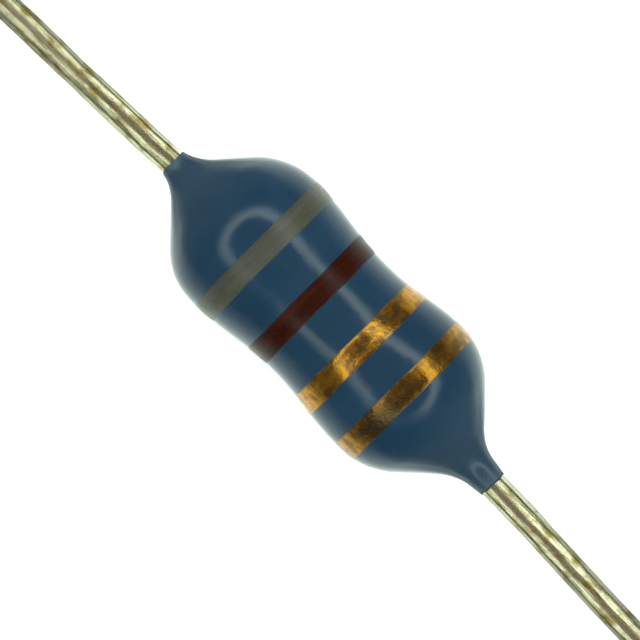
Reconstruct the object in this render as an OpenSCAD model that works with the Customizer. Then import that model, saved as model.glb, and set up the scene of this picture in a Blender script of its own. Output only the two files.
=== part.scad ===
// Axial inductor: a wire-wound ferrite drum core on two tinned leads, dipped in blue epoxy.
// The lead axis lies along X, first colour band on the -X side. The origin is the middle of the body.

/* [Leads] */
// Diameter of the tinned copper lead wire
lead_d = 0.6; // [0.5:0.05:0.7]
// Distance from one lead tip to the other
tip_span = 64; // [40:1:80]
// Sideways bend of the lead beside the first band, in degrees
bend_angle_left = 1.7; // [0.5:0.1:3]
// Sideways bend of the lead beside the last band, in degrees
bend_angle_right = 2.9; // [0.5:0.1:3]
// Distance from the middle at which each lead turns back, to end on the body's axis
turn_back_x = 10.8; // [8:0.2:16]
// Depth that each lead is set into the core
lead_depth = 1.4; // [0.8:0.1:1.7]
// Chamfer round the sheared tip of a lead
tip_chamfer = 0.05; // [0.02:0.01:0.1]

/* [Ferrite core] */
// Diameter of the two flanges
flange_d = 3.0; // [2.8:0.05:3.3]
// Thickness of each flange
flange_t = 1.1; // [0.8:0.05:1.3]
// Chamfer on the rims of the flanges
flange_chamfer = 0.15; // [0.05:0.01:0.25]
// Height of the flanges' rims above the winding
flange_lip = 0.224; // [0.1:0.002:0.4]
// Thickness of the cement between a lead and its hole in the core
cement_t = 0.05; // [0.02:0.01:0.1]
// Width of the slot that lets the wire out through a flange
slot_w = 0.4; // [0.3:0.02:0.6]
// Depth that the slot is cut below the post, so that its edge stays clear of the bent wire
slot_relief = 0.1; // [0.08:0.01:0.2]

/* [Winding] */
// Diameter of the enamelled copper wire
wire_d = 0.2; // [0.14:0.01:0.22]
// Whole turns on the post
turns = 19; // [12:1:22]
// Gap between neighbouring turns, and between the winding and what it lies on
wire_gap = 0.006; // [0.004:0.001:0.02]
// Turns of each wire end round its lead
wrap_turns = 1.5; // [1:0.25:2]
// Smallest bend radius of the wire ends
wire_bend_r = 0.2; // [0.15:0.01:0.25]

/* [Solder] */
// Solder over the wrapped wire
solder_t = 0.1; // [0.06:0.01:0.16]
// Length of the solder's taper onto the lead
solder_taper = 0.22; // [0.1:0.01:0.3]

/* [Epoxy coat] */
// Coat over the rims of the flanges, which sets the widest diameter
coat_t = 0.42; // [0.3:0.01:0.5]
// Coat over the winding, which sets the waist
waist_t = 0.44; // [0.3:0.01:0.5]
// Distance from each flange's inner face to the middle of the bulge over it
bulge_inset = 0.13; // [0.08:0.01:0.4]
// Slope of the flank beside the first band, in degrees
flank_angle_left = 47; // [42:0.5:50]
// Slope of the flank beside the last band, in degrees
flank_angle_right = 43.5; // [42:0.5:50]
// Radius of the hollow curve where the left flank runs out onto its lead
fillet_left = 1.15; // [0.8:0.05:1.3]
// Radius of the hollow curve where the right flank runs out onto its lead
fillet_right = 1.3; // [0.8:0.05:1.5]
// Coat round the lead where it ends
edge_t = 0.035; // [0.02:0.005:0.08]
// Taper of the left collar, in degrees
taper_angle_left = 11; // [4:0.5:14]
// Taper of the right collar, in degrees
taper_angle_right = 8; // [4:0.5:14]
// Length of the left collar
collar_left = 0.02; // [0.02:0.01:0.6]
// Length of the right collar
collar_right = 0.37; // [0.02:0.01:0.8]

/* [Colour bands] */
// Width of a painted band
band_w = 0.56; // [0.3:0.02:0.7]
// Distance between the middles of the first three bands
band_pitch = 1.5; // [1.1:0.05:1.6]
// Distance between the middles of the last two bands
last_pitch = 1.36; // [1.1:0.02:1.6]
// Middle of the first band, measured from the middle of the body
first_band_x = -1.96; // [-2.2:0.02:-1.7]
// Thickness of the paint
paint_t = 0.02; // [0.01:0.005:0.04]

/* [Hidden] */
$fn = 96;

LEFT = -1;
RIGHT = 1;

COAT_BLUE = [0.13, 0.25, 0.37];
BAND_GREY = [0.36, 0.37, 0.31];
BAND_BROWN = [0.27, 0.11, 0.07];
BAND_GOLD = [0.78, 0.56, 0.16];
FERRITE_GREY = [0.17, 0.17, 0.18];
ENAMEL_COPPER = [0.62, 0.28, 0.12];
TINNED_COPPER = [0.72, 0.70, 0.58];
SOLDER_GREY = [0.66, 0.67, 0.68];
CEMENT_CREAM = [0.80, 0.76, 0.62];

lead_r = lead_d / 2;
wire_r = wire_d / 2;
flange_r = flange_d / 2;
overcut = 0.5;

// The winding lies below the flanges' rims, and its turns fill the window between the flanges
turn_steps = 20;
wire_sides = 6;
wire_pitch = wire_d + wire_gap;
wind_outer_r = flange_r - flange_lip;
wind_r = wind_outer_r - wire_r - wire_gap;
window = (turns + 1) * wire_pitch + 2 * wire_gap;

// The post stays clear of the chords that each turn is drawn with
post_r = wind_r * cos(180 / turn_steps) - wire_r - wire_gap;

// The core, measured along X from the middle of the body
flange_in_x = window / 2;
core_end_x = flange_in_x + flange_t;
hole_r = lead_r + cement_t;
hole_depth = lead_depth + cement_t;

// The wire end: out through the slot, down the flange's face, and round the lead
face_run_x = core_end_x + wire_r + wire_gap;
wrap_r = (lead_r + wire_r + wire_gap) / cos(180 / turn_steps);
wrap_outer_r = wrap_r + wire_r + wire_gap;
wrap_end_x = face_run_x + wrap_turns * wire_pitch + wire_r + wire_gap;
exit_angle = 360 * turns / 2;
line_angle = acos(wrap_r / wind_r);

// The solder joint
solder_r = wrap_outer_r + solder_t;
solder_shoulder_x = wrap_end_x + solder_t / 2;
solder_end_x = solder_shoulder_x + solder_taper;

// The coat's outline: waist arc, bulge arc about a centre on the axis, flank, hollow fillet, collar
bulge_r = flange_r + coat_t;
waist_r = wind_outer_r + waist_t;
bulge_x = flange_in_x + bulge_inset;
waist_curvature = 2 * (bulge_r - waist_r) / (pow(bulge_x, 2) + pow(waist_r, 2) - pow(bulge_r, 2));
blend_x = bulge_x / (1 + waist_curvature * bulge_r);
edge_r = lead_r + edge_t;
station_step = 0.08;
fillet_steps = 10;

function side_value(side, left, right) = side == LEFT ? left : right;
function flank(side) = side_value(side, flank_angle_left, flank_angle_right);
function taper(side) = side_value(side, taper_angle_left, taper_angle_right);
function collar(side) = side_value(side, collar_left, collar_right);
function bend(side) = side_value(side, bend_angle_left, bend_angle_right);
function fillet_r(side) = side_value(side, fillet_left, fillet_right);

// Radii and stations of one end of the coat, as distances from the middle
function collar_start_r(side) = edge_r + collar(side) * sin(taper(side));
function fillet_start_r(side) = collar_start_r(side) + fillet_r(side) * (cos(taper(side)) - cos(flank(side)));
function flank_start_x(side) = bulge_x + bulge_r * sin(flank(side));
function flank_start_r(side) = bulge_r * cos(flank(side));
function fillet_start_x(side) =
    flank_start_x(side) + (flank_start_r(side) - fillet_start_r(side)) / tan(flank(side));
function collar_start_x(side) = fillet_start_x(side) + fillet_r(side) * (sin(flank(side)) - sin(taper(side)));
function coat_end_x(side) = collar_start_x(side) + collar(side) * cos(taper(side));

// Where a lead turns back: its distance from the axis there, and the slope of the straight run to its tip
function turn_back_y(side) = (turn_back_x - coat_end_x(side)) * tan(bend(side));
function return_angle(side) = atan(turn_back_y(side) / (tip_span / 2 - turn_back_x));

// Radius of the coat between the two flanks, at a signed station
function coat_r(x) = abs(x) < blend_x
    ? waist_r + waist_curvature * x * x / (1 + sqrt(1 - pow(waist_curvature * x, 2)))
    : sqrt(pow(bulge_r, 2) - pow(abs(x) - bulge_x, 2));

// Evenly divided stations between neighbouring breaks, so that a band and the coat share theirs
function stations(breaks) = [
    for (i = [0:len(breaks) - 2])
        let (gap = breaks[i + 1] - breaks[i], n = ceil(gap / station_step))
            for (j = [0:n - 1]) breaks[i] + gap * j / n,
    breaks[len(breaks) - 1]
];

band_x = [
    first_band_x,
    first_band_x + band_pitch,
    first_band_x + 2 * band_pitch,
    first_band_x + 2 * band_pitch + last_pitch
];
function band_edges(i) = [band_x[i] - band_w / 2, band_x[i] + band_w / 2];

coat_breaks = [
    -flank_start_x(LEFT),
    each band_edges(0), each band_edges(1), each band_edges(2), each band_edges(3),
    flank_start_x(RIGHT)
];

// Outline of one end of the coat beyond its flank's start, going outwards
function end_outline(side) = [
    for (i = [0:fillet_steps])
        let (a = flank(side) + (taper(side) - flank(side)) * i / fillet_steps)
            [
                fillet_start_x(side) + fillet_r(side) * (sin(flank(side)) - sin(a)),
                fillet_start_r(side) - fillet_r(side) * (cos(a) - cos(flank(side)))
            ],
    [coat_end_x(side), edge_r],
    [coat_end_x(side), 0]
];
function reversed(list) = [for (i = [len(list) - 1:-1:0]) list[i]];
function mirrored(outline) = [for (p = outline) [-p[0], p[1]]];

coat_outline = concat(
    reversed(mirrored(end_outline(LEFT))),
    [for (x = stations(coat_breaks)) [x, coat_r(x)]],
    end_outline(RIGHT)
);

// Turns an outline of [station, radius] points round the X axis
module turned(outline) {
    rotate([0, 90, 0])
        rotate_extrude()
            polygon([for (p = outline) [p[1], p[0]]]);
}

// A cylinder along X between two stations
module bar(r, x0, x1) {
    translate([x0, 0, 0])
        rotate([0, 90, 0])
            cylinder(r = r, h = x1 - x0);
}

// Draws a right-hand piece on either side of the middle
module on_side(side) {
    if (side == LEFT) mirror([1, 0, 0]) children();
    else children();
}

// Puts a right-hand piece on the bend beside the coat, turned by an angle
module at_bend(side, angle) {
    translate([coat_end_x(side), 0, 0])
        rotate([0, 0, -angle])
            children();
}

// Puts a right-hand piece where its lead turns back to the axis, turned by an angle
module at_turn_back(side, angle) {
    translate([turn_back_x, -turn_back_y(side), 0])
        rotate([0, 0, angle])
            children();
}

// A block that fills the near or the far side of a mitre plane, to cut a lead there
module mitre_block(far) {
    block = 4 * lead_d;
    translate([far ? 0 : -block, -block / 2, -block / 2])
        cube(block);
}

// One lead: straight out of the coat, slightly aside from its end on, then back to the axis at its tip.
// Each mitre plane halves the angle between the two straight lengths that meet on it.
module lead(side) {
    beside = (turn_back_x - coat_end_x(side)) / cos(bend(side));
    outer = (tip_span / 2 - turn_back_x) / cos(return_angle(side)) - tip_chamfer;
    on_side(side) {
        difference() {
            bar(lead_r, core_end_x - lead_depth, coat_end_x(side) + lead_d);
            at_bend(side, bend(side) / 2) mitre_block(true);
        }
        difference() {
            at_bend(side, bend(side)) bar(lead_r, -lead_d, beside + lead_d);
            at_bend(side, bend(side) / 2) mitre_block(false);
            at_turn_back(side, (return_angle(side) - bend(side)) / 2) mitre_block(true);
        }
        difference() {
            at_turn_back(side, return_angle(side)) {
                bar(lead_r, -lead_d, outer);
                translate([outer, 0, 0])
                    rotate([0, 90, 0])
                        cylinder(r1 = lead_r, r2 = lead_r - tip_chamfer, h = tip_chamfer);
            }
            at_turn_back(side, (return_angle(side) - bend(side)) / 2) mitre_block(false);
        }
    }
}

module core_envelope() {
    for (side = [LEFT, RIGHT])
        on_side(side)
            turned([
                [flange_in_x, 0],
                [flange_in_x, flange_r - flange_chamfer],
                [flange_in_x + flange_chamfer, flange_r],
                [core_end_x - flange_chamfer, flange_r],
                [core_end_x, flange_r - flange_chamfer],
                [core_end_x, 0]
            ]);
}

// Turns a right-hand wire piece to the wire's exit, and to its twin on the left by a half turn about Z
module at_exit(side) {
    rotate([0, 0, side == LEFT ? 180 : 0])
        rotate([-exit_angle, 0, 0])
            children();
}

module ferrite_core() {
    color(FERRITE_GREY)
        difference() {
            union() {
                core_envelope();
                bar(post_r, -flange_in_x, flange_in_x);
            }
            for (side = [LEFT, RIGHT]) {
                on_side(side) bar(hole_r, core_end_x - hole_depth, core_end_x + overcut);
                at_exit(side)
                    translate([flange_in_x, -slot_w / 2, post_r - slot_relief])
                        cube([flange_t + overcut, slot_w, flange_r]);
            }
        }
}

// Half of the wire's path, from the middle of the winding to the end of the wrap on the right-hand lead
function on_radius(x, r, a) = [x, r * sin(a), r * cos(a)];
helix_half = [
    for (i = [0:turns * turn_steps / 2 - 1])
        let (a = 360 * i / turn_steps)
            on_radius(wire_pitch * a / 360, wind_r, a)
];
corner_steps = 5;

// From round the post to along it: a quarter turn on the winding's own surface, ending at the exit angle
turn_out_x = wire_pitch * turns / 2;
wire_turn_out = [
    for (i = [0:corner_steps])
        let (a = 90 * i / corner_steps)
            on_radius(
                turn_out_x + wire_bend_r * (1 - cos(a)),
                wind_r,
                exit_angle - (1 - sin(a)) * wire_bend_r / wind_r * 180 / PI
            )
];

// From along the post to down the flange's face: a quarter turn towards the line that just touches the wrap
exit_point = on_radius(0, wind_r, exit_angle);
touch_angle = exit_angle + line_angle;
touch_point = on_radius(0, wrap_r, touch_angle);
face_line = (touch_point - exit_point) / norm(touch_point - exit_point);
wire_turn_in = [
    for (i = [0:corner_steps])
        let (a = 90 * i / corner_steps)
            exit_point
                + [face_run_x - wire_bend_r * (1 - sin(a)), 0, 0]
                + wire_bend_r * (1 - cos(a)) * face_line
];
wire_wrap = [
    for (i = [0:wrap_turns * turn_steps])
        let (a = 360 * i / turn_steps)
            on_radius(face_run_x + wire_pitch * a / 360, wrap_r, touch_angle + a)
];

wire_half = concat(helix_half, wire_turn_out, wire_turn_in, wire_wrap);
function half_turned(p) = [-p[0], -p[1], p[2]];
wire_path = concat(
    [for (i = [len(wire_half) - 1:-1:1]) half_turned(wire_half[i])],
    wire_half
);

// Sweeps a round section along a path, carrying one normal from ring to ring
function unit(v) = v / norm(v);
function path_direction(path, i) =
    unit(path[min(i + 1, len(path) - 1)] - path[max(i - 1, 0)]);
function path_normals(path) = [
    for (
        i = 0, n = unit(cross(path_direction(path, 0), [1, 0, 0]));
        i < len(path);
        i = i + 1,
        t = path_direction(path, min(i, len(path) - 1)),
        n = unit(n - (n * t) * t)
    ) n
];

module swept_wire(path, r, sides) {
    normals = path_normals(path);
    rings = [
        for (i = [0:len(path) - 1])
            let (t = path_direction(path, i), n = normals[i], b = cross(t, n))
                for (k = [0:sides - 1])
                    let (a = 360 * k / sides)
                        path[i] + r * (cos(a) * n + sin(a) * b)
    ];
    last = (len(path) - 1) * sides;
    walls = [
        for (i = [0:len(path) - 2])
            for (k = [0:sides - 1])
                let (
                    a = i * sides + k,
                    b = i * sides + (k + 1) % sides
                )
                    each [[a, a + sides, b + sides], [a, b + sides, b]]
    ];
    polyhedron(
        points = rings,
        faces = concat(
            walls,
            [[for (k = [0:sides - 1]) k]],
            [[for (k = [sides - 1:-1:0]) last + k]]
        ),
        convexity = 10
    );
}

module winding() {
    color(ENAMEL_COPPER) swept_wire(wire_path, wire_r, wire_sides);
}

module solder_envelope(side) {
    on_side(side)
        turned([
            [core_end_x, 0],
            [core_end_x, solder_r],
            [solder_shoulder_x, solder_r],
            [solder_end_x, lead_r + solder_t / 4],
            [solder_end_x, 0]
        ]);
}

module solder_joint(side) {
    color(SOLDER_GREY)
        difference() {
            solder_envelope(side);
            on_side(side) {
                bar(lead_r, core_end_x - overcut, solder_end_x + overcut);
                bar(wrap_outer_r, core_end_x - overcut, wrap_end_x);
            }
            face_channel(side);
        }
}

// Room for the wire from the slot down the flange's face to the wrap
module face_channel(side) {
    channel_w = wire_d + 2 * wire_gap;
    reach = wind_r * sin(line_angle) + channel_w / 2;
    at_exit(side)
        rotate([-line_angle, 0, 0])
            translate([core_end_x, -reach, wrap_r - channel_w / 2])
                cube([channel_w, reach, channel_w]);
}

module lead_cement(side) {
    color(CEMENT_CREAM)
        difference() {
            on_side(side) bar(hole_r, core_end_x - hole_depth, core_end_x);
            on_side(side) bar(lead_r, core_end_x - lead_depth, core_end_x + overcut);
        }
}

module epoxy_coat() {
    color(COAT_BLUE)
        difference() {
            turned(coat_outline);
            core_envelope();
            bar(wind_outer_r, -flange_in_x, flange_in_x);
            for (side = [LEFT, RIGHT]) {
                solder_envelope(side);
                face_channel(side);
                on_side(side) bar(lead_r, core_end_x, coat_end_x(side) + overcut);
            }
        }
}

module band(i, paint) {
    xs = stations(band_edges(i));
    color(paint)
        turned(concat(
            [for (x = xs) [x, coat_r(x)]],
            reversed([for (x = xs) [x, coat_r(x) + paint_t]])
        ));
}

epoxy_coat();
band(0, BAND_GREY);  // band_1_grey
band(1, BAND_BROWN);  // band_2_brown
band(2, BAND_GOLD);  // band_3_gold
band(3, BAND_GOLD);  // band_4_gold
ferrite_core();
winding();
color(TINNED_COPPER) lead(LEFT);  // lead_left
color(TINNED_COPPER) lead(RIGHT);  // lead_right
solder_joint(LEFT);  // solder_joint_left
solder_joint(RIGHT);  // solder_joint_right
lead_cement(LEFT);  // lead_cement_left
lead_cement(RIGHT);  // lead_cement_right
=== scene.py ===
"""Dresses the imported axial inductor: a dipped blue coat, four painted bands and two tinned leads."""

import logging
import math
from dataclasses import dataclass, field
from enum import Enum

import bpy
import numpy as np
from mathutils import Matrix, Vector


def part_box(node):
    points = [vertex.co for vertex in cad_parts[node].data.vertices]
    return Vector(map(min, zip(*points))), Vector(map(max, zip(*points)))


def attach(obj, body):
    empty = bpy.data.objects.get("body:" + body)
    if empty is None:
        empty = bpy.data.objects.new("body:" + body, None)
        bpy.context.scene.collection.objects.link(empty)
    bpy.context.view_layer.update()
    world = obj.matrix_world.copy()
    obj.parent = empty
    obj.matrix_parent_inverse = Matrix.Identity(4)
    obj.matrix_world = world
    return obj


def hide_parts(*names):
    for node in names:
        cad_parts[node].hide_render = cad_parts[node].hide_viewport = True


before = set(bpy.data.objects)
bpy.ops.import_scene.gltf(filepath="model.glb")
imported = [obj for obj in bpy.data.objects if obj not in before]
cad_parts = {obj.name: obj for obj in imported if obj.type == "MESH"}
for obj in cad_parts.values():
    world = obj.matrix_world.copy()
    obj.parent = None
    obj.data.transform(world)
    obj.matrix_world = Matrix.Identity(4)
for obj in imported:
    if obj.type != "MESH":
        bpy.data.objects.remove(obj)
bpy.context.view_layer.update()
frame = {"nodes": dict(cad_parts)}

log = logging.getLogger("inductor")

MM = 0.001
Colour = tuple[float, float, float]


class End(Enum):
    """The two ends of the part, by the sign of X."""

    LEFT = -1
    RIGHT = 1


class Ray(Enum):
    """Kinds of light ray that the studio answers differently."""

    CAMERA = "Is Camera Ray"
    GLOSSY = "Is Glossy Ray"
    TRANSMISSION = "Is Transmission Ray"


def linear(red: int, green: int, blue: int) -> Colour:
    """Turns a colour as written on screen into the linear one that a shader takes.

    Each channel c, as a share of 255, becomes ((c + 0.055) / 1.055) ** 2.4, or c / 12.92 where it is dark.

    Args:
        red: Red, 0 to 255.
        green: Green, 0 to 255.
        blue: Blue, 0 to 255.

    Returns:
        The three linear channels.
    """
    shares = np.array((red, green, blue)) / 255
    light = np.where(shares > 0.04045, ((shares + 0.055) / 1.055) ** 2.4, shares / 12.92)
    return tuple(float(v) for v in light)


def hermite(x: np.ndarray, knots: np.ndarray, values: np.ndarray) -> np.ndarray:
    """Smooth curve through given points.

    Between two knots it is the cubic with the knots' values and slopes, and a knot's slope is the
    central difference of its neighbours.

    Args:
        x: Where the curve is wanted.
        knots: Rising positions of the points.
        values: Values at the knots.

    Returns:
        The curve's values, shaped as x.
    """
    slopes = np.gradient(values, knots)
    i = np.clip(np.searchsorted(knots, x) - 1, 0, len(knots) - 2)
    gap = knots[i + 1] - knots[i]
    t = (x - knots[i]) / gap
    return (
        values[i] * (1 + 2 * t) * (1 - t) ** 2
        + slopes[i] * gap * t * (1 - t) ** 2
        + values[i + 1] * t ** 2 * (3 - 2 * t)
        + slopes[i + 1] * gap * t ** 2 * (t - 1)
    )


@dataclass(frozen=True)
class Ripple:
    """A gentle unevenness over angle and length: the sum of a * cos(n * angle + 2 pi x / l + p) over its waves.

    Each wave is (a in millimetres, n whole waves around, l in millimetres, p in radians).
    """

    waves: tuple[tuple[float, int, float, float], ...]

    def at(self, x: np.ndarray, angle: np.ndarray) -> np.ndarray:
        """Height of the ripple in millimetres at each station and angle."""
        total = np.zeros(np.broadcast(x, angle).shape)
        for height, around, length, phase in self.waves:
            total = total + height * np.cos(around * angle + 2 * np.pi * x / length + phase)
        return total


def bump_window(x: np.ndarray, start: float, end: float, soft: float) -> np.ndarray:
    """One between start and end, and zero outside: the product of two tanh steps of width soft."""
    return 0.25 * (1 + np.tanh((x - start) / soft)) * (1 + np.tanh((end - x) / soft))


def ring_mesh(name: str, rings: np.ndarray, looped: bool) -> bpy.types.Mesh:
    """Makes a closed mesh from a grid of rings.

    Quad (i, j) joins ring i to ring i + 1 between angles j and j + 1. A looped grid joins its last ring
    to its first; otherwise each end is closed by a fan to the middle of its ring. Faces are turned so that
    the enclosed volume, the sum of a . (b x c) / 6 over triangles, is positive.

    Args:
        name: The mesh's name.
        rings: Points in millimetres, shaped (rings, around, 3).
        looped: Whether the last ring joins the first.

    Returns:
        The mesh in metres.
    """
    count, around = rings.shape[:2]
    rows = count if looped else count - 1
    i, j = np.meshgrid(np.arange(rows), np.arange(around), indexing="ij")
    turn, step = (j + 1) % around, (i + 1) % count
    quads = np.stack((i * around + j, i * around + turn, step * around + turn, step * around + j), -1).reshape(-1, 4)
    points = rings.reshape(-1, 3)
    fans = np.zeros((0, 3), int)
    if not looped:
        middles = rings[[0, -1]].mean(1)
        first = np.arange(around)
        last = first + (count - 1) * around
        pole = len(points)
        fans = np.concatenate((
            np.stack((np.roll(first, -1), first, np.full(around, pole)), -1),
            np.stack((last, np.roll(last, -1), np.full(around, pole + 1)), -1),
        ))
        points = np.concatenate((points, middles))
    a, b, c, d = (points[quads[:, k]] for k in range(4))
    volume = np.einsum("ij,ij->", a, np.cross(b, c)) + np.einsum("ij,ij->", a, np.cross(c, d))
    if len(fans):
        volume += np.einsum("ij,ij->", points[fans[:, 0]], np.cross(points[fans[:, 1]], points[fans[:, 2]]))
    if volume < 0:
        quads, fans = quads[:, ::-1], fans[:, ::-1]
    mesh = bpy.data.meshes.new(name)
    mesh.vertices.add(len(points))
    mesh.vertices.foreach_set("co", (points * MM).astype(np.float32).ravel())
    corners = np.concatenate((quads.ravel(), fans.ravel()))
    mesh.loops.add(len(corners))
    mesh.loops.foreach_set("vertex_index", corners.astype(np.int32))
    starts = np.concatenate((np.arange(len(quads)) * 4, len(quads) * 4 + np.arange(len(fans)) * 3))
    mesh.polygons.add(len(starts))
    mesh.polygons.foreach_set("loop_start", starts.astype(np.int32))
    mesh.polygons.foreach_set("use_smooth", np.ones(len(starts), bool))
    mesh.update(calc_edges=True)
    mesh.validate()
    return mesh


def paint_attribute(mesh: bpy.types.Mesh, name: str, values: np.ndarray) -> None:
    """Stores one number per point of a mesh.

    Args:
        mesh: The mesh.
        name: Name that the material reads it by.
        values: One value per point of the grid; further points, the ends' middles, get zero.
    """
    data = np.zeros(len(mesh.vertices), np.float32)
    data[: values.size] = values.ravel()
    mesh.attributes.new(name, "FLOAT", "POINT").data.foreach_set("value", data)


def add_piece(mesh: bpy.types.Mesh, finish: "Finish", slot: str, *nodes: str) -> bpy.types.Object:
    """Puts a finished mesh in the scene in place of CAD nodes.

    Args:
        mesh: The mesh, already in place.
        finish: What it is made of.
        slot: The record's material slot; not used.
        nodes: The CAD nodes that it stands for.

    Returns:
        The new object, riding on the part's one body.
    """
    piece = bpy.data.objects.new(mesh.name, mesh)
    bpy.context.scene.collection.objects.link(piece)
    mesh.materials.append(finish.material())
    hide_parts(*nodes)
    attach(piece, "root")
    log.info("%s: %d points, stands for %s", piece.name, len(mesh.vertices), ", ".join(nodes))
    return piece


class Recipe:
    """Lays shader nodes into one material or world and joins them up."""

    def __init__(self, owner: bpy.types.Material | bpy.types.World) -> None:
        """Starts from an empty tree."""
        owner.use_nodes = True
        self.tree = owner.node_tree
        self.tree.nodes.clear()

    def add(self, kind: str, settings: dict | None = None, **inputs: object) -> bpy.types.Node:
        """Adds a node.

        Args:
            kind: The node's type, without its ShaderNode prefix.
            settings: Properties of the node itself.
            inputs: Values or sockets by input name, with underscores for spaces; numbered inputs as i0, i1.

        Returns:
            The node.
        """
        node = self.tree.nodes.new("ShaderNode" + kind)
        for key, value in (settings or {}).items():
            setattr(node, key, value)
        for key, value in inputs.items():
            numbered = key[0] == "i" and key[1:].isdigit()
            socket = node.inputs[int(key[1:])] if numbered else node.inputs[key.replace("_", " ")]
            if isinstance(value, bpy.types.NodeSocket):
                self.tree.links.new(value, socket)
            elif isinstance(value, tuple) and len(value) == 3 and socket.type == "RGBA":
                socket.default_value = (*value, 1.0)
            else:
                socket.default_value = value
        return node

    def math(self, operation: str, first: object, second: object = 0.0) -> bpy.types.NodeSocket:
        """Output of a Math node on two values."""
        return self.add("Math", {"operation": operation}, i0=first, i1=second).outputs[0]

    def span(self, value: object, low: float, high: float, to_low: float = 0.0, to_high: float = 1.0) -> bpy.types.NodeSocket:
        """Output of a smooth Map Range from low..high to to_low..to_high."""
        node = self.add("MapRange", {"interpolation_type": "SMOOTHSTEP"}, Value=value, From_Min=low, From_Max=high)
        node.inputs["To Min"].default_value = to_low
        node.inputs["To Max"].default_value = to_high
        return node.outputs[0]

    def place(self, scale: tuple[float, float, float], turn: float = 0.0) -> bpy.types.NodeSocket:
        """Object coordinates in millimetres, stretched by scale and turned about Z by turn degrees."""
        where = self.add("TexCoord").outputs["Object"]
        stretch = tuple(s / MM for s in scale)
        return self.add("Mapping", Vector=where, Scale=stretch, Rotation=(0.0, 0.0, math.radians(turn))).outputs[0]

    def noise(self, where: bpy.types.NodeSocket, scale: float, detail: float = 2.0, rough: float = 0.5) -> bpy.types.NodeSocket:
        """Output of a noise texture."""
        return self.add("TexNoise", Vector=where, Scale=scale, Detail=detail, Roughness=rough).outputs[0]

    def blend(self, share: object, first: object, second: object) -> bpy.types.NodeSocket:
        """Colour between two colours."""
        node = self.add("Mix", {"data_type": "RGBA"})
        for index, value in ((0, share), (6, first), (7, second)):
            if isinstance(value, bpy.types.NodeSocket):
                self.tree.links.new(value, node.inputs[index])
            else:
                node.inputs[index].default_value = (*value, 1.0) if isinstance(value, tuple) else value
        return node.outputs[2]

    def bump(self, height: bpy.types.NodeSocket, depth: float, normal: bpy.types.NodeSocket | None = None) -> bpy.types.NodeSocket:
        """Normal of a relief whose height goes from zero to depth, in millimetres."""
        node = self.add("Bump", Height=height, Distance=depth * MM, Strength=1.0)
        if normal is not None:
            self.tree.links.new(normal, node.inputs["Normal"])
        return node.outputs[0]

    def finish(self, **inputs: object) -> None:
        """Ends a material with a Principled shader that takes these inputs."""
        shader = self.add("BsdfPrincipled", None, **inputs)
        self.add("OutputMaterial", Surface=shader.outputs[0])


@dataclass(frozen=True)
class Finish:
    """A material of the part."""

    name: str

    def material(self) -> bpy.types.Material:
        """The Blender material, made once and then shared."""
        own = "finish_" + self.name
        made = bpy.data.materials.get(own)
        if made is None:
            made = bpy.data.materials.new(own)
            self.mix(Recipe(made))
        return made

    def mix(self, recipe: Recipe) -> None:
        """Lays the finish's nodes."""
        raise NotImplementedError


@dataclass(frozen=True)
class DippedEpoxy(Finish):
    """Glossy blue resin, a little uneven in depth of colour, and lighter where it thins out on a lead."""

    deep: Colour = linear(31, 63, 87)
    full: Colour = linear(36, 69, 94)
    thin: Colour = linear(84, 107, 118)

    def mix(self, recipe: Recipe) -> None:
        """Cloudy blue, thin-edge colour by the thin attribute, faint orange peel and specks."""
        where = recipe.place((1, 1, 1))
        cloud = recipe.span(recipe.noise(where, 0.9, 3), 0.35, 0.65)
        body = recipe.blend(cloud, self.deep, self.full)
        thin = recipe.add("Attribute", {"attribute_name": "thin"}).outputs["Fac"]
        speck = recipe.span(recipe.noise(where, 9, 2), 0.66, 0.74, 0, 0.35)
        body = recipe.blend(speck, body, self.full)
        peel = recipe.noise(where, 2.6, 2)
        grain = recipe.noise(where, 22, 2)
        dull = recipe.add("Attribute", {"attribute_name": "dull"}).outputs["Fac"]
        normal = recipe.bump(grain, 0.0008, recipe.bump(peel, 0.005))
        recipe.finish(
            Base_Color=recipe.blend(thin, body, self.thin),
            Roughness=recipe.math("ADD", recipe.span(grain, 0.3, 0.7, 0.1, 0.17), recipe.math("MULTIPLY", thin, 0.4)),
            Specular_IOR_Level=recipe.math("SUBTRACT", 0.5, recipe.math("MULTIPLY", dull, 0.42)),
            IOR=1.53,
            Normal=normal,
        )


@dataclass(frozen=True)
class BandPaint(Finish):
    """Painted band, rolled on round the body, with the coat showing faintly through its soft edges."""

    tone: Colour = linear(87, 91, 76)
    shade: Colour = linear(78, 82, 67)
    under: Colour = linear(36, 64, 86)
    ior: float = 1.48

    def mix(self, recipe: Recipe) -> None:
        """Streaks run round the body; the edge attribute lets the coat's colour through."""
        streak = recipe.noise(recipe.place((9, 0.8, 0.8)), 1, 3)
        cloud = recipe.noise(recipe.place((1, 1, 1)), 2.3, 2)
        tone = recipe.blend(recipe.span(streak, 0.35, 0.65), self.shade, self.tone)
        dull = recipe.add("Attribute", {"attribute_name": "dull"}).outputs["Fac"]
        wear_and_shade = recipe.math("MULTIPLY", recipe.add("Attribute", {"attribute_name": "edge"}).outputs["Fac"],
                           recipe.span(cloud, 0.35, 0.6, 0.35, 1))
        recipe.finish(
            Base_Color=recipe.blend(wear_and_shade, tone, self.under),
            Roughness=recipe.span(cloud, 0.3, 0.7, 0.22, 0.34),
            IOR=self.ior,
            Specular_IOR_Level=recipe.math("SUBTRACT", 0.5, recipe.math("MULTIPLY", dull, 0.3)),
            Normal=recipe.bump(streak, 0.004, recipe.bump(cloud, 0.006)),
        )


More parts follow.
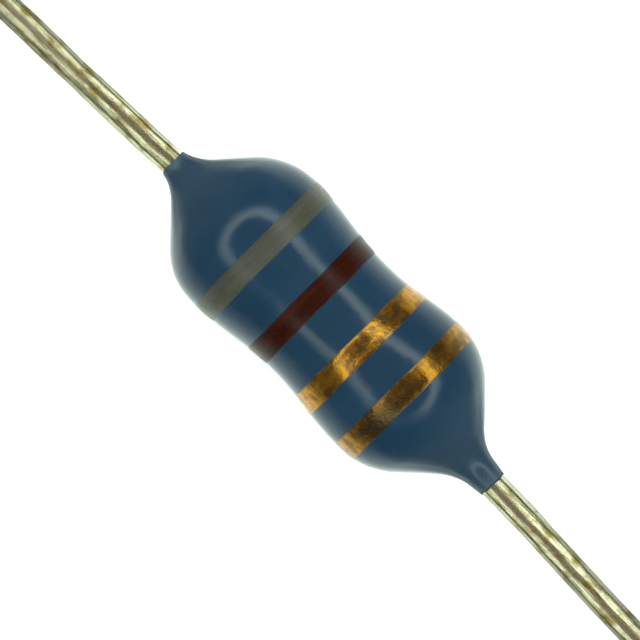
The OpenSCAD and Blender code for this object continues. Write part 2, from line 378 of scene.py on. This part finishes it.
@dataclass(frozen=True)
class GoldPaint(Finish):
    """Metallic gold paint: fine flakes, rolled streaks, and thin soft edges."""

    bright: Colour = linear(216, 152, 46)
    faded: Colour = linear(152, 112, 62)
    # A darker gold blended in at the dull spots: painted shade that dims the reflection there.
    wear_and_shade: Colour = linear(106, 84, 56)
    under: Colour = linear(60, 66, 58)

    def mix(self, recipe: Recipe) -> None:
        """Flakes mottle the colour and the roughness; the edge attribute lets the coat through."""
        streak = recipe.noise(recipe.place((10, 0.9, 0.9)), 1, 3)
        where = recipe.place((1, 1, 1))
        cloud = recipe.noise(where, 3.4, 3)
        flake = recipe.add("TexVoronoi", Vector=where, Scale=28.0)
        glint = recipe.add("SeparateColor", Color=flake.outputs["Color"]).outputs[0]
        mottle = recipe.math("ADD", recipe.math("MULTIPLY", streak, 0.25), recipe.math("MULTIPLY", cloud, 0.75))
        tone = recipe.blend(recipe.span(mottle, 0.4, 0.6), self.faded, self.bright)
        dull = recipe.add("Attribute", {"attribute_name": "dull"}).outputs["Fac"]
        # Painted shade: at the dull spots the gold blends to a darker colour, dimming its reflection of the ring light.
        tone = recipe.blend(dull, tone, self.wear_and_shade)
        wear_and_shade = recipe.math("MULTIPLY", recipe.add("Attribute", {"attribute_name": "edge"}).outputs["Fac"],
                           recipe.span(cloud, 0.35, 0.6, 0.3, 1))
        recipe.finish(
            Base_Color=recipe.blend(wear_and_shade, tone, self.under),
            Metallic=recipe.span(wear_and_shade, 0.1, 0.9, 0.88, 0.2),
            Roughness=recipe.math("ADD", recipe.span(glint, 0.1, 0.9, 0.17, 0.25), recipe.math("MULTIPLY", dull, 0.08)),
            Normal=recipe.bump(glint, 0.0006, recipe.bump(streak, 0.004, recipe.bump(cloud, 0.018))),
        )


@dataclass(frozen=True)
class TinnedWire(Finish):
    """Tinned copper drawn through a die: warm silver with fine lengthwise lines, matt where it was clamped."""

    bright: Colour = linear(250, 240, 204)
    stain: Colour = linear(196, 176, 112)
    # Darker tin for the broken marks: painted shade in the reflected streaks.
    shaded_tin: Colour = linear(126, 102, 54)

    def mix(self, recipe: Recipe) -> None:
        """Lines and broken dark marks follow the lead, the marks being painted shade that breaks the reflected streaks
        into dashes; the matt attribute roughens it; stains are cloudy.
        """
        lines = recipe.noise(recipe.place((0.5, 14, 14)), 1, 4, 0.6)
        wave = recipe.noise(recipe.place((1.1, 2.4, 2.4)), 1.1, 2)
        cloud = recipe.noise(recipe.place((1.5, 2.2, 2.2)), 1.6, 3, 0.6)
        grain = recipe.noise(recipe.place((0.45, 1, 1)), 11, 3)
        # Painted shade: broken lengthwise marks where the tin turns darker, breaking the reflected streaks into dashes.
        dash = recipe.span(recipe.noise(recipe.place((0.45, 5.5, 5.5)), 1.6, 4, 0.7), 0.52, 0.66, 0, 0.6)
        tin = recipe.blend(recipe.span(cloud, 0.46, 0.66), self.bright, self.stain)
        matt = recipe.add("Attribute", {"attribute_name": "matt"}).outputs["Fac"]
        rough = recipe.math("ADD", recipe.span(cloud, 0.35, 0.65, 0.22, 0.32), recipe.math("MULTIPLY", matt, 0.1))
        recipe.finish(
            Base_Color=recipe.blend(dash, tin, self.shaded_tin),
            Metallic=0.94,
            Roughness=rough,
            Normal=recipe.bump(grain, 0.0014, recipe.bump(lines, 0.008, recipe.bump(wave, 0.022))),
        )


@dataclass(frozen=True)
class Ferrite(Finish):
    """Sintered ferrite: dull dark grey with a fine grain."""

    light: Colour = linear(62, 62, 66)
    dark: Colour = linear(40, 40, 43)

    def mix(self, recipe: Recipe) -> None:
        """Grain and pores from two noises."""
        where = recipe.place((1, 1, 1))
        grain = recipe.noise(where, 30, 3)
        cloud = recipe.noise(where, 3, 3)
        recipe.finish(
            Base_Color=recipe.blend(recipe.span(cloud, 0.35, 0.65), self.dark, self.light),
            Roughness=recipe.span(grain, 0.3, 0.7, 0.5, 0.7),
            Normal=recipe.bump(grain, 0.004),
        )


@dataclass(frozen=True)
class EnamelledCopper(Finish):
    """Copper wire under clear amber enamel."""

    copper: Colour = linear(206, 122, 74)
    amber: Colour = linear(168, 84, 40)

    def mix(self, recipe: Recipe) -> None:
        """A gloss coat over metal whose colour clouds slightly."""
        where = recipe.place((1, 1, 1))
        cloud = recipe.noise(where, 2.5, 3)
        recipe.finish(
            Base_Color=recipe.blend(recipe.span(cloud, 0.35, 0.65), self.amber, self.copper),
            Metallic=1.0,
            Roughness=recipe.span(recipe.noise(where, 14, 2), 0.3, 0.7, 0.22, 0.36),
            Coat_Weight=0.8,
            Coat_Roughness=0.1,
            Normal=recipe.bump(recipe.noise(where, 14, 2), 0.002),
        )


@dataclass(frozen=True)
class SatinSolder(Finish):
    """Frozen solder: satin grey metal with a crystalline mottle."""

    light: Colour = linear(206, 208, 210)
    dark: Colour = linear(160, 162, 165)

    def mix(self, recipe: Recipe) -> None:
        """Crystals from a cell pattern."""
        where = recipe.place((1, 1, 1))
        cells = recipe.add("TexVoronoi", Vector=where, Scale=9.0).outputs["Distance"]
        recipe.finish(
            Base_Color=recipe.blend(recipe.span(cells, 0.1, 0.7), self.dark, self.light),
            Metallic=1.0,
            Roughness=recipe.span(cells, 0.1, 0.7, 0.28, 0.42),
            Normal=recipe.bump(cells, 0.006),
        )


@dataclass(frozen=True)
class CuredCement(Finish):
    """Matt cream cement with fine grit."""

    light: Colour = linear(216, 208, 184)
    dark: Colour = linear(188, 178, 150)

    def mix(self, recipe: Recipe) -> None:
        """Grit from a fine noise."""
        grit = recipe.noise(recipe.place((1, 1, 1)), 24, 3)
        recipe.finish(
            Base_Color=recipe.blend(recipe.span(grit, 0.35, 0.65), self.dark, self.light),
            Roughness=recipe.span(grit, 0.3, 0.7, 0.7, 0.9),
            Normal=recipe.bump(grit, 0.006),
        )


@dataclass(frozen=True)
class PartLine:
    """The line through the middle of the lead, the coat and the other lead, seen from above.

    It is the CAD's line with the wire's own slight kinks. Positions in millimetres.
    """

    along: tuple[float, ...] = (
        -32.01, -21.0, -12.5, -10.8, -9.46, -8.66, -7.6, -6.8, -5.99, -5.19, -4.8, -4.26, -3.7, -3.1, -2.2, -1.0,
        0.0, 1.1, 2.3, 3.3, 3.75, 4.0, 4.26, 4.53, 4.9, 5.46, 5.99, 6.53, 7.06, 8.13, 9.46, 10.8, 12.5, 21.0, 32.02,
    )
    aside: tuple[float, ...] = (
        0.0, -0.09, -0.158, -0.163, -0.146, -0.129, -0.112, -0.087, -0.068, -0.038, -0.02, -0.008, 0.008, -0.008,
        0.01, 0.004,
        0.0, -0.005, 0.012, 0.004, -0.008, -0.022, -0.05, -0.071, -0.074, -0.083, -0.095, -0.113, -0.139, -0.19, -0.24,
        -0.275, -0.268, -0.14, 0.0,
    )

    def y(self, x: np.ndarray) -> np.ndarray:
        """How far the line lies along Y at each station."""
        return hermite(x, np.array(self.along), np.array(self.aside))

    def z(self, x: np.ndarray) -> np.ndarray:
        """How far the line lies along Z: 0.008 * sin(1.1 x) beyond the coat, and nothing in its middle."""
        return 0.008 * np.sin(1.1 * x) * np.clip(np.abs(x) - 3, 0, 1)


@dataclass(frozen=True)
class CoatEnd:
    """One end of the coat's outline: a flank, a hollow curve, and a collar that thins out on the lead."""

    flank: float
    hollow_r: float
    taper: float
    collar: float


@dataclass
class Coat:
    """The dipped epoxy coat: two bulges over the core's flanges, a waist between them, and drawn-out ends."""

    line: PartLine
    bulge_r: float = 1.92
    waist_r: float = 1.716
    bulge_x: float = 2.196
    edge_r: float = 0.34
    lead_r: float = 0.306
    around: int = 144
    ends: dict[End, CoatEnd] = field(default_factory=lambda: {
        End.LEFT: CoatEnd(47, 1.15, 11, 0.02),
        End.RIGHT: CoatEnd(43.5, 1.3, 8, 0.37),
    })
    ripple: Ripple = Ripple((
        (0.007, 2, 11.0, 0.4), (0.005, 3, 7.0, 2.1), (0.0035, 1, 3.1, 1.0),
        (0.003, 4, 4.2, 4.4), (0.002, 6, 2.6, 0.9), (0.0015, 2, 1.3, 3.0),
    ))
    swell_x: tuple[float, ...] = (
        -5.4, -4.8, -4.26, -3.73, -3.2, -2.8, -2.4, -2.1, -1.87, -1.5, -1.2, -0.8, -0.3, 0.0, 0.8, 1.07, 1.33,
        1.6, 1.87, 2.13, 2.4, 2.66, 2.93, 3.2, 3.6, 3.9, 4.26, 4.53, 5.2, 6.0,
    )
    swell_r: tuple[float, ...] = (
        0.0, 0.012, 0.022, 0.03, 0.03, 0.026, 0.006, 0.0, 0.012, 0.042, 0.044, 0.022, -0.002, -0.004, 0.002, 0.012,
        0.028, 0.022, 0.002, -0.014, -0.006, 0.02, 0.038, 0.046, 0.06, 0.05, 0.032, 0.014, 0.008, 0.0,
    )
    # Spots (x, angle, width, spread) where the skin and paint lose gloss and the gold paint is painted darker as shade.
    dull_spots: tuple[tuple[float, float, float, float], ...] = ((-1.35, 1.89, 0.72, 0.3), (2.85, 1.95, 0.75, 0.36))
    drape: Ripple = Ripple(((0.045, 1, 60.0, 0.7), (0.03, 2, 60.0, 2.6), (0.015, 5, 60.0, 1.2)))
    cavity: tuple[tuple[float, float], ...] = (
        (3.957, 0.33), (3.737, 0.621), (3.17, 0.621), (3.17, 1.352), (3.02, 1.504), (2.214, 1.504),
        (2.062, 1.352), (2.062, 1.28),
    )

    def middle_radius(self, x: np.ndarray) -> np.ndarray:
        """Radius between the flanks.

        Over the waist it is waist_r + k x^2 / (1 + sqrt(1 - (k x)^2)), an arc of curvature k, and over a bulge
        sqrt(bulge_r^2 - (|x| - bulge_x)^2), an arc about a point on the axis.

        Args:
            x: Stations in millimetres.

        Returns:
            Radii in millimetres.
        """
        k = 2 * (self.bulge_r - self.waist_r) / (self.bulge_x ** 2 + self.waist_r ** 2 - self.bulge_r ** 2)
        joint = self.bulge_x / (1 + k * self.bulge_r)
        waist = self.waist_r + k * x ** 2 / (1 + np.sqrt(np.clip(1 - (k * x) ** 2, 0, 1)))
        bulge = np.sqrt(np.clip(self.bulge_r ** 2 - (np.abs(x) - self.bulge_x) ** 2, 0, None))
        return np.where(np.abs(x) < joint, waist, bulge)

    def swell(self, x: np.ndarray) -> np.ndarray:
        """How much thicker the resin has run than the even outline, at each station."""
        return hermite(np.clip(x, self.swell_x[0], self.swell_x[-1]), np.array(self.swell_x), np.array(self.swell_r))

    def flank_start(self, end: End) -> float:
        """Distance from the middle at which the bulge's arc meets the flank."""
        return self.bulge_x + self.bulge_r * math.sin(math.radians(self.ends[end].flank))

    def end_outline(self, end: End) -> tuple[np.ndarray, np.ndarray]:
        """Outline beyond the bulge's arc, going outwards: flank, hollow arc, collar and a rounded lip.

        The hollow arc's points are x0 + R (sin f - sin a), r0 - R (cos a - cos f) as its slope a falls from
        the flank's angle f to the collar's taper.

        Args:
            end: Which end.

        Returns:
            Distances from the middle, and radii.
        """
        form = self.ends[end]
        flank, taper = math.radians(form.flank), math.radians(form.taper)
        collar_r = self.edge_r + form.collar * math.sin(taper)
        hollow_r = collar_r + form.hollow_r * (math.cos(taper) - math.cos(flank))
        start_x, start_r = self.flank_start(end), self.bulge_r * math.cos(flank)
        hollow_x = start_x + (start_r - hollow_r) / math.tan(flank)
        straight = np.linspace(0, 1, 12)[1:]
        slope = np.linspace(flank, taper, 28)[1:]
        x = np.concatenate((
            start_x + (hollow_x - start_x) * straight,
            hollow_x + form.hollow_r * (math.sin(flank) - np.sin(slope)),
        ))
        r = np.concatenate((
            start_r + (hollow_r - start_r) * straight,
            hollow_r - form.hollow_r * (np.cos(slope) - math.cos(flank)),
        ))
        out = np.linspace(0, 1, 7)[1:] * form.collar
        x, r = np.append(x, x[-1] + out * math.cos(taper)), np.append(r, r[-1] - out * math.sin(taper))
        lip = self.edge_r - self.lead_r - 0.004
        round_off = np.linspace(0, np.pi / 2, 6)[1:]
        return (
            np.append(x, x[-1] + lip * (np.sin(round_off) - 1)),
            np.append(r, self.lead_r + 0.004 + lip * np.cos(round_off)),
        )

    def centres(self, x: np.ndarray) -> np.ndarray:
        """Middle of the coat at each station, as points."""
        return np.stack((x, self.line.y(x), self.line.z(x)), -1)

    def skin(self, x: np.ndarray, angle: np.ndarray, radius: np.ndarray) -> np.ndarray:
        """Points round the part's line: centre + (0, R cos a, R sin a), with R = r + ripple + swell.

        Args:
            x: Stations, shaped (n, m).
            angle: Angles, shaped (n, m).
            radius: Even radii, shaped (n, m).

        Returns:
            Points, shaped (n, m, 3).
        """
        calm = np.clip((radius - self.lead_r) / 0.5, 0, 1)
        real = radius + calm * self.ripple.at(x, angle) + np.clip(calm * 3, 0, 1) * self.swell(x)
        points = self.centres(x)
        points[..., 1] += real * np.cos(angle)
        points[..., 2] += real * np.sin(angle)
        return points

    def dullness(self, x: np.ndarray, angle: np.ndarray) -> np.ndarray:
        """How far the skin has lost its gloss, and how much painted shade the gold paint takes: the sum of exp(-((x -
        x0) / w)^4 - ((a - a0) / v)^4) over its spots.

        Args:
            x: Stations in millimetres.
            angle: Angles, shaped as x.

        Returns:
            Shares from zero to one.
        """
        total = np.zeros(x.shape)
        for spot_x, spot_angle, width, spread in self.dull_spots:
            aside = np.angle(np.exp(1j * (angle - spot_angle))) / spread
            total += np.exp(-((x - spot_x) / width) ** 4 - aside ** 4)
        return total

    def build(self, finish: Finish) -> bpy.types.Object:
        """Makes the coat as one closed surface, its outside and the cavity for the core.

        Args:
            finish: The coat's material.

        Returns:
            The coat.
        """
        left_x, left_r = self.end_outline(End.LEFT)
        right_x, right_r = self.end_outline(End.RIGHT)
        middle = np.linspace(-self.flank_start(End.LEFT), self.flank_start(End.RIGHT), 150)
        outer_x = np.concatenate((-left_x[::-1], middle, right_x))
        outer_r = np.concatenate((left_r[::-1], self.middle_radius(middle), right_r))
        hollow = np.array(self.cavity)
        inner = np.concatenate((hollow, np.stack((-hollow[::-1, 0], hollow[::-1, 1]), -1)))
        x = np.concatenate((outer_x, inner[:, 0]))
        r = np.concatenate((outer_r, inner[:, 1]))
        angle, x_grid = np.meshgrid(np.linspace(0, 2 * np.pi, self.around, endpoint=False), x)
        r_grid = np.broadcast_to(r[:, None], x_grid.shape)
        outside = np.arange(len(x))[:, None] < len(outer_x)
        pull = np.where(outside, np.clip((0.75 - r_grid) / 0.4, 0, 1) ** 2, 0) * np.sign(x_grid)
        x_grid = x_grid - pull * np.abs(self.drape.at(x_grid, angle)) * 0.8
        rings = self.skin(x_grid, angle, r_grid)
        mesh = ring_mesh("coat", rings, looped=True)
        over = np.clip(r_grid - self.lead_r, 0, None)
        paint_attribute(mesh, "thin", np.where(outside, 0.65 * np.exp(-(over / 0.06) ** 2) + 0.2 * np.exp(-(over / 0.95) ** 2), 0))
        paint_attribute(mesh, "dull", self.dullness(x_grid, angle))
        return add_piece(mesh, finish, "blue_epoxy", "epoxy_coat")


@dataclass
class Band:
    """One painted band on the coat, with soft, slightly wavy edges."""

    coat: Coat
    node: str
    slot: str
    start: float
    end: float
    edge_wave: Ripple
    thickness: float = 0.014
    across: int = 22

    def build(self, finish: Finish) -> bpy.types.Object:
        """Makes the band as a closed ring of paint that follows the coat's skin.

        The paint's height over the coat is t (1 - s^4) for s from -1 to 1 across it, and its underside
        lies a little below the skin.

        Args:
            finish: The paint.

        Returns:
            The band.
        """
        share = np.sin(np.linspace(-np.pi / 2, np.pi / 2, self.across))
        angle, s = np.meshgrid(np.linspace(0, 2 * np.pi, self.coat.around, endpoint=False), share)
        middle, half = (self.start + self.end) / 2, (self.end - self.start) / 2
        x = middle + s * (half + self.edge_wave.at(s * 0.5, angle))
        height = self.thickness * (1 - s ** 4) - 0.002
        top = self.coat.skin(x, angle, self.coat.middle_radius(x) + height)
        under = self.coat.skin(x, angle, self.coat.middle_radius(x) - 0.012)
        mesh = ring_mesh(self.node + "_paint", np.concatenate((top, under[::-1])), looped=True)
        edge = np.clip((np.abs(s) - 0.8) / 0.2, 0, 1) ** 1.5
        paint_attribute(mesh, "edge", np.concatenate((edge, edge[::-1])))
        dull = self.coat.dullness(x, angle)
        paint_attribute(mesh, "dull", np.concatenate((dull, dull[::-1])))
        return add_piece(mesh, finish, self.slot, self.node)


@dataclass
class Lead:
    """One tinned lead: drawn wire along the part's line, with small dents where it was clamped."""

    line: PartLine
    end: End
    inner_x: float
    tip_x: float
    clamp: tuple[float, float, float]
    matt: float
    oval: float
    radius: float = 0.31
    chamfer: float = 0.05
    ridge: float = 0.012
    around: int = 144
    ripple: Ripple = Ripple((
        (0.0016, 2, 2.9, 0.3), (0.0012, 3, 1.7, 1.9), (0.0012, 1, 0.83, 0.5), (0.0008, 5, 1.1, 2.2), (0.0007, 2, 0.41, 4.0),
    ))

    def stations(self) -> np.ndarray:
        """Distances from the middle: every 0.04 mm near the coat, every 0.25 mm further out, and the tip's rim."""
        near = np.arange(self.inner_x, 11.5, 0.04)
        far = np.arange(11.5, self.tip_x - 0.3, 0.25)
        rim = self.tip_x - np.array([0.28, 0.2, 0.12, 0.08, self.chamfer, self.chamfer * 0.6, self.chamfer * 0.25, 0.0])
        return np.concatenate((near, far, rim))

    def build(self, finish: Finish) -> bpy.types.Object:
        """Sweeps a round section along the line.

        A section's point at angle a is c + r (cos a n + sin a Z), with n level and square to the line. The
        radius is the wire's, plus oval * sin 2a and ridge * |sin 2a|^11, which the drawing die leaves, and
        less the dents, which are depth * |cos a|^3 over the clamped length.

        Args:
            finish: The wire's material.

        Returns:
            The lead.
        """
        out = self.stations()
        x = out * self.end.value
        x = x if self.end is End.RIGHT else x[::-1]
        centre = np.stack((x, self.line.y(x), self.line.z(x)), -1)
        direction = np.gradient(centre, axis=0)
        direction /= np.linalg.norm(direction, axis=1, keepdims=True)
        level = np.cross((0.0, 0.0, 1.0), direction)
        level /= np.linalg.norm(level, axis=1, keepdims=True)
        upright = np.cross(direction, level)
        angle = np.linspace(0, 2 * np.pi, self.around, endpoint=False)[None, :]
        start, stop, depth = self.clamp
        dent = depth * bump_window(x, start, stop, 0.05)[:, None] * np.abs(np.cos(angle)) ** 3
        even = np.minimum(self.radius, self.radius - self.chamfer + (self.tip_x - np.abs(x)))
        r = even[:, None] + self.ripple.at(x[:, None], angle) + self.oval * np.sin(2 * angle) + self.ridge * np.abs(np.sin(2 * angle)) ** 11 - dent
        rings = centre[:, None] + r[..., None] * (
            np.cos(angle)[..., None] * level[:, None] + np.sin(angle)[..., None] * upright[:, None]
        )
        name = "lead_" + self.end.name.lower()
        mesh = ring_mesh(name + "_wire", rings, looped=False)
        beyond = self.matt / (1 + np.exp(-(np.abs(x) - abs(stop)) / 0.2))
        paint_attribute(mesh, "matt", np.repeat(beyond[:, None], self.around, 1))
        return add_piece(mesh, finish, "tinned_copper", name)


@dataclass
class Inside:
    """What the coat hides: the core, the winding, the solder and the cement keep their CAD solids."""

    finishes: dict[str, Finish] = field(default_factory=lambda: {
        "ferrite_core": Ferrite("sintered_ferrite"),
        "winding": EnamelledCopper("enamelled_wire"),
        "solder_joint_left": SatinSolder("satin_solder"),
        "solder_joint_right": SatinSolder("satin_solder"),
        "lead_cement_left": CuredCement("cured_cement"),
        "lead_cement_right": CuredCement("cured_cement"),
    })

    def dress(self, nodes: dict[str, bpy.types.Object]) -> None:
        """Gives each node its finish.

        Args:
            nodes: The CAD nodes by name.
        """
        for name, finish in self.finishes.items():
            mesh = nodes[name].data
            mesh.materials.clear()
            mesh.materials.append(finish.material())
            log.info("%s: %s", name, finish.name)


@dataclass
class Studio:
    """White table, a ring of soft light round the camera, dim surroundings, and the camera itself."""

    floor_z: float
    turn: float = 44.8
    scale: float = 0.0222
    body_pixel: tuple[float, float] = (327.0, 314.5)
    lens: float = 300.0
    sensor: float = 36.0
    image: int = 640
    ring_in: tuple[float, float] = (30.5, 40.0)
    ring_out: tuple[float, float] = (40.5, 57.0)
    ring_light: float = 1.95
    ring_lean: tuple[float, float] = (3.5, 0.7)
    ambient: float = 0.47
    ceiling: tuple[float, float] = (0.1, 0.07)
    end_glow: float = 0.12
    warmth: Colour = (1.0, 0.9, 0.62)
    table_tint: Colour = (0.86, 1.0, 0.91)
    side_light: tuple[float, float, float] = (-0.1, 0.28, 0.0)

    def world(self) -> None:
        """Lights the part from the sky alone.

        With a the angle between a direction and the ring's middle, the ring's light is the product of two
        smooth steps, up over ring_in and down over ring_out. Glossy rays see a dim sky besides, lighter
        towards the part's two ends, and camera rays see white.
        """
        world = bpy.data.worlds.new("studio")
        world.cycles.sampling_method = "NONE"
        bpy.context.scene.world = world
        recipe = Recipe(world)
        middle = tuple(Vector((*(math.tan(math.radians(lean)) for lean in self.ring_lean), 1.0)).normalized())
        way = recipe.add("TexCoord").outputs["Generated"]
        cosine = recipe.add("VectorMath", {"operation": "DOT_PRODUCT"}, i0=way, i1=middle).outputs["Value"]
        angle = recipe.math("MULTIPLY", recipe.math("ARCCOSINE", cosine), 180 / math.pi)
        ring = recipe.math("MULTIPLY", recipe.span(angle, *self.ring_in), recipe.span(angle, *self.ring_out, 1, 0))
        path = recipe.add("LightPath").outputs
        sharp = recipe.math("MAXIMUM", path[Ray.GLOSSY.value], path[Ray.TRANSMISSION.value])
        low = recipe.math("ABSOLUTE", recipe.add("SeparateXYZ", Vector=way).outputs["X"])
        dim = recipe.math("ADD", recipe.span(angle, 20, 80, *self.ceiling), recipe.span(low, 0.62, 1.0, 0, self.end_glow))
        side = recipe.add("VectorMath", {"operation": "DOT_PRODUCT"}, i0=way, i1=self.side_light).outputs["Value"]
        share = recipe.math("ADD", side, 1.0)
        even = recipe.math("MULTIPLY", share, self.ambient)
        around = recipe.add("Mix", {"data_type": "FLOAT"}, i0=sharp, i2=even, i3=dim).outputs[0]
        total = recipe.math("ADD", recipe.math("MULTIPLY", recipe.math("MULTIPLY", ring, share), self.ring_light), around)
        seen = recipe.add("Mix", {"data_type": "FLOAT"}, i0=path[Ray.CAMERA.value], i2=total, i3=1.0).outputs[0]
        ends = recipe.span(angle, *self.ring_in)
        tint = recipe.blend(sharp, (1.0, 1.0, 1.0), recipe.blend(ends, self.warmth, self.table_tint))
        sky = recipe.add("Background", Color=tint, Strength=seen)
        recipe.add("OutputWorld", Surface=sky.outputs[0])
        log.info("studio light: ring from %.0f to %.0f degrees", self.ring_in[0], self.ring_out[1])

    def mirrored_floor(self, recipe: Recipe) -> bpy.types.NodeSocket:
        """How bright the table looks in the part's own gloss: bright close by and dim far off.

        It is 0.2 + 1.45 / (1 + d^2 / 50), where d^2 = y^2 + max(|x| - 3, 0)^2 in millimetres, and goes over
        to a dimmer level under the leads and then round them.

        Args:
            recipe: The table's recipe.

        Returns:
            The brightness.
        """
        where = recipe.add("SeparateXYZ", Vector=recipe.place((1, 1, 1))).outputs
        past = recipe.math("MAXIMUM", recipe.math("SUBTRACT", recipe.math("ABSOLUTE", where["X"]), 3.0), 0.0)
        along = recipe.math("MULTIPLY", past, past)
        level = recipe.span(past, 5.5, 8.0, 0.48, 0.2)
        aside = recipe.math("MULTIPLY", where["Y"], where["Y"])
        under = recipe.math("MULTIPLY", recipe.span(past, 1.2, 3.0), recipe.span(aside, 3.0, 12.0, 1.0, 0.0))
        beyond = recipe.math("MAXIMUM", under, recipe.span(past, 3.5, 5.0))
        spread = recipe.math("ADD", recipe.math("DIVIDE", recipe.math("ADD", along, aside), 50.0), 1.0)
        close = recipe.math("ADD", recipe.math("DIVIDE", 1.45, spread), 0.2)
        return recipe.add("Mix", {"data_type": "FLOAT"}, i0=beyond, i2=close, i3=level).outputs[0]

    def floor(self) -> None:
        """Lays a matt white table that takes the part's shadow and looks white to the camera."""
        half = 250 * MM
        mesh = bpy.data.meshes.new("table_top")
        mesh.from_pydata(
            [(-half, -half, self.floor_z), (half, -half, self.floor_z), (half, half, self.floor_z), (-half, half, self.floor_z)],
            [], [(0, 1, 2, 3)],
        )
        floor = bpy.data.objects.new("table_top", mesh)
        bpy.context.scene.collection.objects.link(floor)
        material = bpy.data.materials.new("white_table")
        recipe = Recipe(material)
        path = recipe.add("LightPath").outputs
        matt = recipe.add("BsdfDiffuse", Color=(0.86, 0.86, 0.86))
        glow = recipe.add("Emission", Color=(1.0, 1.0, 1.0), Strength=recipe.math("MULTIPLY", path[Ray.CAMERA.value], 0.62))
        both = recipe.add("AddShader", None, i0=matt.outputs[0], i1=glow.outputs[0])
        mirrored = recipe.add("Emission", Color=self.table_tint, Strength=self.mirrored_floor(recipe))
        sharp = recipe.math("MAXIMUM", path[Ray.GLOSSY.value], path[Ray.TRANSMISSION.value])
        table = recipe.add("MixShader", None, i0=sharp, i1=both.outputs[0], i2=mirrored.outputs[0])
        recipe.add("OutputMaterial", Surface=table.outputs[0])
        mesh.materials.append(material)
        log.info("table at %.4f m", self.floor_z)

    def camera(self) -> None:
        """Places the camera straight above, so that the body's middle falls on its pixel of the photograph."""
        turn = math.radians(self.turn)
        right = Vector((math.cos(turn), math.sin(turn), 0))
        up = Vector((-math.sin(turn), math.cos(turn), 0))
        across = self.body_pixel[0] - self.image / 2
        over = self.image / 2 - self.body_pixel[1]
        aim = -(right * across + up * over) * self.scale * MM
        height = self.image * self.scale * self.lens / self.sensor * MM
        data = bpy.data.cameras.new("camera")
        data.lens, data.sensor_width = self.lens, self.sensor
        data.clip_start, data.clip_end = 0.001, 10
        camera = bpy.data.objects.new("camera", data)
        camera.location = aim + Vector((0, 0, height))
        camera.rotation_euler = (0, 0, turn)
        bpy.context.scene.collection.objects.link(camera)
        bpy.context.scene.camera = camera
        log.info("camera %.1f mm above the part", height / MM)


def main() -> None:
    """Builds the studio, then the part from its coat outwards, then dresses what the coat hides."""
    logging.basicConfig(level=logging.INFO, format="%(name)s: %(message)s")
    bpy.context.scene.view_settings.view_transform = "Standard"
    studio = Studio(floor_z=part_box("band_4_gold")[0].z)
    studio.world()
    studio.floor()
    studio.camera()

    line = PartLine()
    coat = Coat(line)
    coat.build(DippedEpoxy("blue_epoxy"))

    grey = BandPaint("grey_paint")
    brown = BandPaint("brown_paint", tone=linear(64, 24, 10), shade=linear(50, 17, 7), ior=1.28)
    gold = GoldPaint("gold_paint")
    # Band 4's gold: darker tones throughout than band 3's.
    darker_gold = GoldPaint("worn_gold_paint", bright=linear(190, 134, 44), faded=linear(136, 99, 54))
    wave = Ripple(((0.006, 2, 40.0, 0.6), (0.005, 3, 3.0, 2.2), (0.004, 5, 1.5, 4.1), (0.003, 9, 0.9, 1.0)))
    shaky = Ripple(((0.006, 1, 40.0, 2.0), (0.006, 4, 2.0, 0.3), (0.004, 7, 1.2, 2.5), (0.003, 11, 0.8, 5.0)))
    for node, slot, start, end, edge, paint in (
        ("band_1_grey", "grey_paint", -2.24, -1.68, wave, grey),
        ("band_2_brown", "brown_paint", -0.74, -0.18, shaky, brown),
        ("band_3_gold", "gold_paint", 0.76, 1.32, wave, gold),
        ("band_4_gold", "gold_paint", 2.12, 2.68, shaky, darker_gold),
    ):
        Band(coat, node, slot, start, end, edge).build(paint)

    wire = TinnedWire("tinned_wire")
    Lead(line, End.LEFT, 1.77, 32.0, (-7.95, -7.4, 0.008), matt=1.0, oval=0.012).build(wire)
    Lead(line, End.RIGHT, 1.77, 32.0, (6.7, 6.95, 0.006), matt=0.0, oval=-0.012).build(wire)

    Inside().dress(frame["nodes"])


if __name__ == "__main__":
    main()
